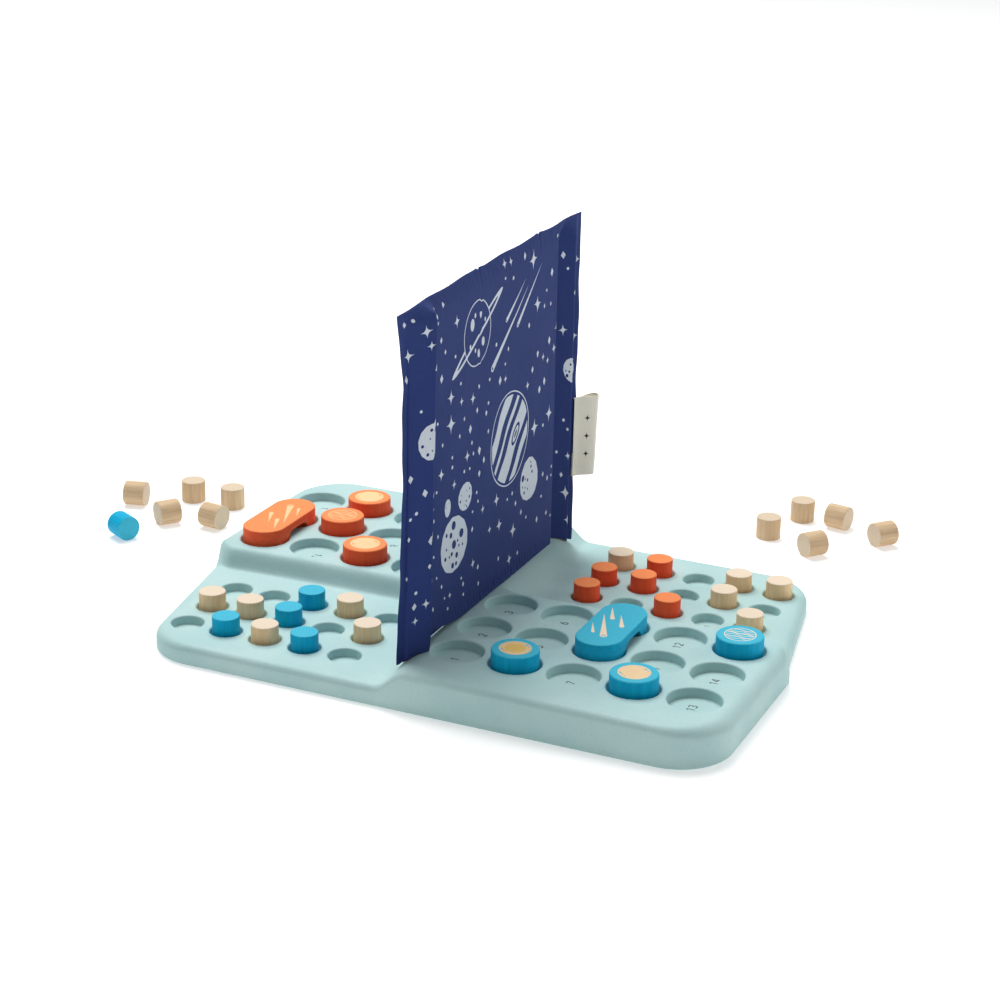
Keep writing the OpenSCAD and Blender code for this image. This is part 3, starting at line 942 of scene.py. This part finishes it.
def cloth_surface(u, v, back):
    """The cloth in space, in mm, for points of the flat cloth (u across, v up)."""
    u, v = np.asarray(u, float), np.asarray(v, float)
    keys = sheet_keys(back)
    x, y = plan_path(keys, u, v)
    step = 0.4
    ahead = plan_path(keys, u + step, v)
    behind = plan_path(keys, u - step, v)
    tangent = np.array([ahead[0] - behind[0], ahead[1] - behind[1]])
    tangent /= np.linalg.norm(tangent, axis=0)
    side = -1.0 if back else 1.0
    out_x, out_y = tangent[1] * side, -tangent[0] * side
    phase = 2.4 if back else 0.7
    edge = np.clip((CLOTH_HALF - np.abs(u)) / 5, 0, 1) * np.clip((CLOTH_HEIGHT - v) / 7, 0, 1)
    panel = np.clip((88 - np.abs(u)) / 10, 0, 1)
    slack = 0.45 + 0.3 * np.sin(u / 17 + v / 31 + phase) + 0.25 * np.sin(u / 8.5 - v / 21 + 2 * phase)
    gathers = ruffles(u, v, phase) * bell(v, 4.5, 9) * (0.3 + 0.7 * bell(u, 12, 80)) * panel
    pucker = ruffles(u * 0.8, v, phase + 1) * bell(v, CLOTH_HEIGHT - 4, 12) * 0.5
    push = edge * (slack * panel * bell(v, 95, 110) + 0.5 * gathers + 0.35 * (pucker + 0.5) * panel)
    flap = np.clip((np.abs(u) - 112) / 6, 0, 1)
    flutter = 0.55 * np.sin(v / 9.0) + 0.35 * np.sin(v / 4.3 + 1.0)
    flutter = flutter * flap * np.clip((CLOTH_HEIGHT - v) / 20, 0, 1) * np.sign(u)
    x = x + out_x * push + flutter * math.cos(SLAT_TURN) * 0.9
    y = y + out_y * push - flutter * math.sin(SLAT_TURN) * 0.9
    hem = hem_height(x, y, u, back)
    top = DECK + SEAM_HEIGHT + SEAM_RISE * u / CLOTH_HALF + SEAM_CROWN * (1 - (u / CLOTH_HALF) ** 2)
    for nick in SEAM_NICKS:
        top = top - 1.6 * np.clip(1 - np.abs(u - nick) / 1.8, 0, 1) + 0.5 * bell(u, nick, 9)
    top = top + 0.35 * np.sin(u / 7.3 + 0.6)
    return np.array([x, y, hem + (top - hem) * v / CLOTH_HEIGHT])


def hem_height(x, y, u, back):
    """Height of the lower edge: just above the deck, higher where a panel nears its first wing."""
    across = -u if back else u
    notch = np.clip((across + 95.0) / 1.6, 0, 1) * np.clip((-38 - across) / 50, 0, 1) ** 1.5
    far_wing = np.clip((across - 95) / 15, 0, 1)
    ends = 1 - np.clip((CLOTH_HALF - np.abs(u)) / 3, 0, 1)
    first_flap = np.clip((-across - 112) / 6, 0, 1)
    return deck_height(x, y) + 0.5 + 8.2 * notch + 0.8 * far_wing + 2.2 * first_flap + 0.7 * ends


def cloth_columns():
    """Places across the cloth, close together at the gathers, the folds, the sides and the nicks."""
    places = set(np.round(np.arange(-CLOTH_HALF, CLOTH_HALF + 0.1, 2.0), 3))
    places.update(np.round(np.arange(-87.0, 88.0, 1.0), 3))
    for back in (False, True):
        for u, r, _ in sheet_keys(back)[1:-1]:
            places.update(np.round(u + np.linspace(-r, r, 7), 3))
    for end in (-1, 1):
        places.update(np.round(end * (CLOTH_HALF - np.array([0, 0.12, 0.4, 0.9, 1.6, 2.6])), 3))
    for nick in SEAM_NICKS:
        places.update(np.round(nick + np.array([-1.8, -0.9, 0, 0.9, 1.8]), 3))
    ordered = sorted(places)
    kept = [ordered[0]]
    for u in ordered[1:]:
        if u - kept[-1] > 0.24 or u == ordered[-1] or abs(u) > CLOTH_HALF - 1:
            kept.append(u)
    return kept


def cloth_rows():
    """Heights up the flat cloth, close together at the hem and at the top seam."""
    near_top = CLOTH_HEIGHT - np.array([0.15, 0.45, 0.9, 1.6, 2.6, 4.0])
    gathered = np.arange(1.0, 14.5, 1.0)
    middle = np.arange(16.5, CLOTH_HEIGHT - 5, 2.5)
    steps = np.concatenate([gathered, middle, near_top])
    return [0.0] + sorted(set(np.round(steps, 3))) + [CLOTH_HEIGHT]


def sewn_surface(u, v, back):
    """One sheet's outer face, drawn to the other sheet where they are sewn: at the sides and the top."""
    side = np.clip((CLOTH_HALF - np.abs(u)) / 0.9, 0, 1)
    top = np.clip((CLOTH_HEIGHT - v) / 0.9, 0, 1)
    open_share = np.sqrt(1 - (1 - side) ** 2) * np.sqrt(1 - (1 - top) ** 2)
    points = cloth_surface(u, v, back)
    middle = (points + cloth_surface(u, v, not back)) / 2
    return between(middle, points, open_share)


def four_point_star(r):
    """A star with four points and hollow sides; a larger fullness would make it fatter."""
    fullness = 0.52
    quarter = []
    for angle in (0, 5, 15, 30, 45, 60, 75, 85):
        c, s = math.cos(math.radians(angle)), math.sin(math.radians(angle))
        reach = r * (c ** fullness + s ** fullness) ** (-1 / fullness)
        quarter.append((reach * c, reach * s))
    return [point for turn in (0, 90, 180, 270) for point in moved(quarter, turn=turn)]


def diamond(r):
    return [(0.75 * r, 0), (0, r), (-0.75 * r, 0), (0, -r)]


def lumpy_rock(centre, radii, luck, craters):
    """An asteroid: an uneven closed outline with round craters of two sizes."""
    waves = [(k, luck.uniform(0, 6.28), size) for k, size in ((2, 0.03), (3, 0.02), (13, 0.012))]
    edge = []
    for k in range(72):
        t = 2 * math.pi * k / 72
        swell = 1 + sum(size * math.sin(n * t + phase) for n, phase, size in waves)
        edge.append((centre[0] + radii[0] * swell * math.cos(t), centre[1] + radii[1] * swell * math.sin(t)))
    shapes = [(edge, 1)]
    spots = []
    for _ in range(400):
        if len(spots) == craters:
            break
        r = luck.choice((0.6, 0.9, 1.2, 1.8)) * min(radii) / 11
        a, reach = luck.uniform(0, 6.28), math.sqrt(luck.uniform(0, 0.62))
        p = (centre[0] + radii[0] * reach * math.cos(a), centre[1] + radii[1] * reach * math.sin(a))
        if all(math.dist(p, q) > r + s + 0.9 for q, s in spots):
            spots.append((p, r))
            shapes.append((circle(p, r, 10), 0))
    return shapes


def ringed_world(centre, r, tilt):
    """An outline planet with oval spots, standing inside a long narrow ring."""
    ring = (2.05 * r, 0.2 * r)
    opening = (1.65 * r, 0.1 * r)
    near_half = arc((0, 0), ring, 180, 360, 30) + arc((0, 0), opening, 360, 180, 30)
    shapes = [
        (moved(arc((0, 0), ring, 0, 354, 59), centre, tilt), 1),
        (moved(arc((0, 0), opening, 0, 354, 59), centre, tilt), 0),
        (circle(centre, r, 48), 1),
        (circle(centre, r - 0.7, 48), 0),
    ]
    spots = (
        (-0.39, 0.33, 0.14, 0.19), (-0.19, 0.57, 0.06, 0.08), (0.22, 0.55, 0.08, 0.1),
        (0.44, -0.35, 0.11, 0.14), (0.12, -0.64, 0.09, 0.13), (-0.53, -0.3, 0.06, 0.08),
        (0.56, 0.3, 0.05, 0.07), (-0.14, -0.5, 0.05, 0.07),
    )
    for x, y, wide, tall in spots:
        spot = arc((centre[0] + x * r, centre[1] + y * r), (wide * r, tall * r), 0, 345, 15)
        shapes.append((spot, 1))
    shapes.append((moved(near_half, centre, tilt), 1))
    return shapes


def cloud_band(r, low, high, wave):
    """A band across a disc of radius r, between two heights, with gently waving edges."""
    def edge(height, phase):
        reach = math.sqrt(r * r - height * height)
        line = []
        for x in np.linspace(-reach, reach, 25):
            calm = 1 - (x / reach) ** 2
            line.append((x, height + wave * calm * math.sin(4.2 * x / r + phase)))
        return line

    top, bottom = (math.degrees(math.asin(height / r)) for height in (high, low))
    right = arc((0, 0), (r, r), top, bottom, 6)[1:-1]
    left = [(-x, y) for x, y in right[::-1]]
    return edge(high, 0.4) + right + edge(low, 1.2)[::-1] + left


def banded_world(centre, r):
    """A planet outline with slanting cloud bands and one oval storm."""
    slant = 50
    storm = (0.22 * r, -0.225 * r)
    shapes = [(circle(centre, r, 60), 1), (circle(centre, r - 0.75, 60), 0)]
    bands = ((-0.8, -0.6, 0.02), (-0.42, -0.03, 0.035), (0.14, 0.25, 0.03), (0.45, 0.75, 0.035))
    for low, high, wave in bands:
        band = cloud_band(0.92 * r, low * r, high * r, wave * r)
        shapes.append((moved(band, centre, slant), 1))
    for wide, tall, paint in ((0.27, 0.125, 0), (0.2, 0.075, 1), (0.1, 0.03, 0)):
        oval = arc(storm, (wide * r, tall * r), 0, 350, 23)
        shapes.append((moved(oval, centre, slant), paint))
    return shapes


def scattered_sky(luck, kept_clear):
    """Small stars, diamonds and dots all over the cloth, clear of each other and of the planets."""
    taken = list(kept_clear)
    shapes = []
    wanted = [
        ("star", 4.6, 9), ("star", 3.6, 15), ("star", 2.7, 14),
        ("diamond", 2.3, 24), ("diamond", 1.6, 44), ("dot", 1.0, 56),
    ]
    for kind, size, count in wanted:
        made = 0
        for _ in range(4000):
            if made == count:
                break
            u, v = luck.uniform(-114, 114), luck.uniform(9, 185)
            r = size * luck.uniform(0.85, 1.15)
            if any(math.hypot(u - a, v - b) < r + clear + 2.3 for a, b, clear in taken):
                continue
            taken.append((u, v, r))
            made += 1
            drawn = {"star": four_point_star(r), "diamond": diamond(r), "dot": circle((0, 0), r, 8)}
            shapes.append((moved(drawn[kind], (u, v), luck.uniform(-10, 10)), 1))
    return shapes


def sky_print(back):
    """The print of one sheet, in flat cloth millimetres: generic planets, rocks, comets and stars."""
    luck = random.Random(29 if back else 11)
    motifs = [
        (ringed_world((-28, 156), 18, 27), (-28, 156, 24)),
        (banded_world((19, 84), 27), (19, 84, 28)),
        (lumpy_rock((49.5, 51), (12.5, 12.8), luck, 10), (49.5, 51, 13.5)),
        (lumpy_rock((-54, 45), (16.5, 16), luck, 15), (-54, 45, 17.5)),
        (lumpy_rock((-41, 69), (8, 8), luck, 8), (-41, 69, 9.5)),
        (lumpy_rock((-63, 68), (4, 5), luck, 3), (-63, 68, 6)),
        (lumpy_rock((-96, 117), (8.5, 9.5), luck, 7), (-96, 117, 11)),
        (lumpy_rock((109, 103), (6.5, 7), luck, 5), (109, 103, 8.5)),
    ]
    shapes = [shape for motif, _ in motifs for shape in motif]
    clear = [area for _, area in motifs] + [(-50, 145, 5), (-58, 140, 4), (-8, 166, 5), (2, 172, 4)]
    for place in ((-62, 115), (48, 178), (55, 80)):
        shapes.append((moved(four_point_star(5.7), place), 1))
        clear.append((*place, 5.7))
    comets = (
        ((-7, 131), (42, 166), 1.9), ((27, 147), (61.5, 174), 1.4), ((11, 153), (38, 170.6), 1.2),
    )
    for head, tip, r in comets:
        shapes.append((comet(head, tip, r), 1))
        shapes.append((circle(head, r * 0.45, 10), 0))
        for share in (0, 0.2, 0.4, 0.6, 0.8, 1.0):
            clear.append((between(head[0], tip[0], share), between(head[1], tip[1], share), 2.5))
    shapes += scattered_sky(luck, clear)
    if back:
        shapes = [([(-x, y) for x, y in outline_points], paint) for outline_points, paint in shapes]
    return shapes


def make_sleeve():
    """Two printed sheets sewn round the sides and the top, open below, with an inner face."""
    builder = Builder()
    flat = []
    columns, rows = cloth_columns(), cloth_rows()
    border, inside = grid_points(columns, rows)
    for back in (False, True):
        points, triangles, paints = painted_sheet(border, sky_print(back), inside)
        u, v = np.array(points).T
        numbers = builder.add(sewn_surface(u, v, back).T)
        flat.extend(points)
        for tri, paint in zip(triangles, paints):
            builder.face([numbers[k] for k in (tri[::-1] if back else tri)], paint)
    add_lining(builder, flat, columns)
    return builder.build("screen_sleeve_cloth", [screen_cloth, screen_ink], sharp_angle=75, uv=flat)


def add_lining(builder, flat, columns):
    """The inside of the sleeve, from the hem up to the seams."""
    inner_half = 112.4
    across = [u for u in columns if abs(u) < inner_half]
    upward = list(np.linspace(0, CLOTH_HEIGHT - 4, 46))
    u, v = (grid.ravel() for grid in np.meshgrid(across, upward))
    sheets = [cloth_surface(u, v, back) for back in (False, True)]
    middle = (sheets[0] + sheets[1]) / 2
    shape = (len(upward), len(across))
    grids = []
    for surface in sheets:
        inward = middle - surface
        inward[2] = 0
        reach = np.linalg.norm(inward, axis=0)
        share = np.minimum(0.8, CLOTH_THICKNESS / np.maximum(reach, 1e-6))
        closed = (np.abs(u) >= max(across) - 1e-6) | (v >= upward[-1] - 1e-6)
        share = np.where(closed, 1.0, share)
        numbers = builder.add((surface + inward * share).T)
        flat.extend(zip(u, v))
        grids.append(np.array(numbers).reshape(shape))
    for back, grid in enumerate(grids):
        for j in range(shape[0] - 1):
            for i in range(shape[1] - 1):
                quad = (grid[j, i], grid[j + 1, i], grid[j + 1, i + 1], grid[j, i + 1])
                builder.face([int(k) for k in (quad[::-1] if back else quad)])
    add_hem(builder, flat, columns, across, grids)


def add_hem(builder, flat, columns, across, grids):
    """The cut lower edge: outer sheet to lining in the middle, sheet to sheet in the sewn flaps."""
    u = np.array(columns)
    v = np.zeros_like(u)
    edges = []
    for back in (False, True):
        edges.append(builder.add(sewn_surface(u, v, back).T))
        flat.extend(zip(u, v))
    first = columns.index(across[0])
    last = columns.index(across[-1])
    for back, grid in enumerate(grids):
        for i in range(first, last):
            low = grid[0]
            a, b = edges[back][i], edges[back][i + 1]
            builder.face((a, b, int(low[i + 1 - first]), int(low[i - first])))
    for i in list(range(0, first)) + list(range(last, len(columns) - 1)):
        builder.face((edges[0][i], edges[0][i + 1], edges[1][i + 1], edges[1][i]))


def make_label():
    """A folded tape label sewn to the back flap, with three small plain stars instead of lettering."""
    low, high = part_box("screen_label")
    height = (high.z - low.z) / MM
    start = np.array([5.2, 103.3])
    along = np.array([math.sin(SLAT_TURN), math.cos(SLAT_TURN)])
    side = np.array([math.cos(SLAT_TURN), -math.sin(SLAT_TURN)])
    reach, gap, fold_r, thick, narrowing = 14.6, 0.75, 2.5, 0.38, 1.8
    length = 2 * reach + math.pi * fold_r

    def tape(x, z, layer):
        """The point x along the flat tape and z up it, on its outer (0) or its inner (1) layer."""
        rise = z / height
        bow = 0.35 * math.sin(rise * 3.1) + 0.25 * math.sin(rise * 6.0 + 1)
        here = reach - narrowing * (1 - rise)
        length_here = 2 * here + math.pi * fold_r
        s = x / length * length_here
        r = fold_r - thick * layer
        wide = gap - thick * layer
        if s < here or s > length_here - here:
            out = s if s < here else length_here - s
            sign = 1 if s < here else -1
            pull = wide + (r - wide) * ease(out / here)
            offset = (out, sign * pull)
        else:
            a = (s - here) / fold_r
            offset = (here + r * math.sin(a), r * math.cos(a))
        sway = bow * (offset[0] / reach) ** 2
        px, py = start + along * offset[0] + side * (offset[1] + sway)
        return px, py, low.z / MM + z + 0.25 * math.sin(x / 3.0)

    builder = Builder()
    flat = []
    straight, bend = np.linspace(0, 0.37, 13), np.linspace(0.39, 0.61, 17)
    columns = np.concatenate([straight, bend, 1 - straight[::-1]])
    rows = np.linspace(0, height, 24)
    stars = []
    for face in (0.24, 0.76):
        for k in (-1, 0, 1):
            stars.append((moved(four_point_star(2.3), (face * length, height / 2 + 11 * k)), 1))
    border, inside = grid_points([c * length for c in columns], rows)
    for layer, shapes in ((0, stars), (1, [])):
        face = painted_sheet(border, shapes, inside)
        builder.sheet(face, lambda x, z: tape(x, z, layer), flip=layer == 1)
        flat.extend(face[0])
    loops = []
    for layer in (0, 1):
        loops.append(builder.add([tape(x, z, layer) for x, z in border]))
        flat.extend(border)
    builder.tube(loops)
    piece = builder.build("screen_label_tape", [label_cloth, label_ink], sharp_angle=60, uv=flat)
    stand_in(piece, "screen_label", "screen")


def paint_node(node, material, bevel_mm):
    """Gives a CAD node its finish and slightly eased edges."""
    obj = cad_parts[node]
    obj.data.materials.clear()
    obj.data.materials.append(material)
    bevel = obj.modifiers.new("eased_edges", "BEVEL")
    bevel.width = bevel_mm * MM
    bevel.segments = 3
    bevel.limit_method = "ANGLE"


# ---------------------------------------------------------------- the stage
WORLD_BRIGHT = 0.36
WORLD_DIM = 0.19
FLOOR_GLOW = 0.42
KEY_DIRECTION = Vector((-0.30, 0.34, 0.89))
KEY_DISTANCE = 2.4
KEY_SIZE = 1.8
KEY_POWER = 62.0
FILL_PLACE = (1.9, 1.1, 0.7)
FILL_SIZE = 1.2
FILL_POWER = 8.0
LIT_POINT = (0, 0, 0.03)


def make_floor():
    """A pale sheet that glows a little, like a table lit from below."""
    size = 6.0
    corners = [(-size, -size, 0), (size, -size, 0), (size, size, 0), (-size, size, 0)]
    mesh = bpy.data.meshes.new("floor")
    mesh.from_pydata(corners, [], [(0, 1, 2, 3)])
    floor = bpy.data.objects.new("floor", mesh)
    bpy.context.scene.collection.objects.link(floor)
    s = Shader(bpy.data.materials.new("floor_paper"))
    s.put(s.surface.inputs["Emission Color"], (1.0, 1.0, 1.0))
    s.put(s.surface.inputs["Emission Strength"], FLOOR_GLOW)
    s.finish((0.8, 0.8, 0.8), 0.9, s.bump(s.noise(s.place(), 40), 0.1, 0.05))
    floor.data.materials.append(s.owner)


def make_world():
    """Soft light from all round, brightest from where the key light stands."""
    world = bpy.data.worlds.new("studio")
    bpy.context.scene.world = world
    s = Shader(world, "Background")
    direction = s.node("TexCoord").outputs["Generated"]
    toward_key = {0: direction, 1: KEY_DIRECTION.normalized()}
    share = s.node("VectorMath", toward_key, operation="DOT_PRODUCT").outputs["Value"]
    s.put(s.surface.inputs["Color"], (0.97, 0.99, 1.0))
    s.put(s.surface.inputs["Strength"], s.span(share, -0.8, 1.0, WORLD_DIM, WORLD_BRIGHT))


def make_light(name, place, size, power):
    """A round soft box that points at the tray."""
    light = bpy.data.lights.new(name, "AREA")
    light.shape = "DISK"
    light.size = size
    light.energy = power
    obj = bpy.data.objects.new(name, light)
    obj.location = place
    obj.rotation_euler = (Vector(LIT_POINT) - Vector(place)).to_track_quat("-Z", "Y").to_euler()
    bpy.context.scene.collection.objects.link(obj)


CAMERA_PLACE = (0.484292, -1.087266, 0.520106)
CAMERA_TURNS = (0.4152, 0.3572, 0.0222)
CAMERA_LENS = 83.163


def make_camera():
    """The camera, turned left by its yaw, down by its pitch and about its axis by its roll, in radians."""
    yaw, pitch, roll = CAMERA_TURNS
    ahead = Vector((-math.sin(yaw) * math.cos(pitch), math.cos(yaw) * math.cos(pitch), -math.sin(pitch)))
    level = Vector((math.cos(yaw), math.sin(yaw), 0))
    upright = level.cross(ahead)
    right = math.cos(roll) * level + math.sin(roll) * upright
    up = math.cos(roll) * upright - math.sin(roll) * level
    data = bpy.data.cameras.new("camera")
    data.lens = CAMERA_LENS
    data.sensor_width = 36.0
    camera = bpy.data.objects.new("camera", data)
    turn = Matrix((right, up, -ahead)).transposed().to_4x4()
    camera.matrix_world = Matrix.Translation(CAMERA_PLACE) @ turn
    bpy.context.scene.collection.objects.link(camera)
    bpy.context.scene.camera = camera


# ---------------------------------------------------------------- everything together
stand_in(make_tray(), "tray")
for number in range(1, 11):
    make_peg(f"natural_peg_{number}", natural_wood)
for number in range(11, 21):
    make_peg(f"natural_peg_{number}", darker_natural_wood)
FLEETS = (
    ("blue", 1, blue_wood, blue_plank, cream_ink, (
        (crater_planet(True), [sand_ink, gold_ink]),
        (crater_planet(False), [sand_ink]),
        (banded_planet(), [cream_ink]),
    )),
    ("orange", -1, orange_wood, orange_plank, pale_ink, (
        (crater_planet(False), [pale_ink]),
        (banded_planet(), [pale_ink]),
        (crater_planet(False), [pale_ink]),
    )),
)
for colour, half, wood, plank_wood, comet_ink, planets in FLEETS:
    for number in range(1, 6):
        make_peg(f"{colour}_peg_{number}", wood)
    for number, (shapes, inks) in enumerate(planets, 1):
        make_planet(f"{colour}_planet_{number}", wood, shapes, inks)
    make_plank(colour + "_meteor", plank_wood, [comet_ink], half)

stand_in(make_sleeve(), "screen_sleeve", "screen")
make_label()
paint_node("screen_board", board_fibre, 0.3)
for end in ("front", "back"):
    paint_node("screen_slat_" + end, slat_wood, 0.4)

make_floor()
make_world()
make_light("key", KEY_DIRECTION * KEY_DISTANCE, KEY_SIZE, KEY_POWER)
make_light("side_fill", FILL_PLACE, FILL_SIZE, FILL_POWER)
make_camera()
bpy.context.scene.view_settings.view_transform = "Standard"
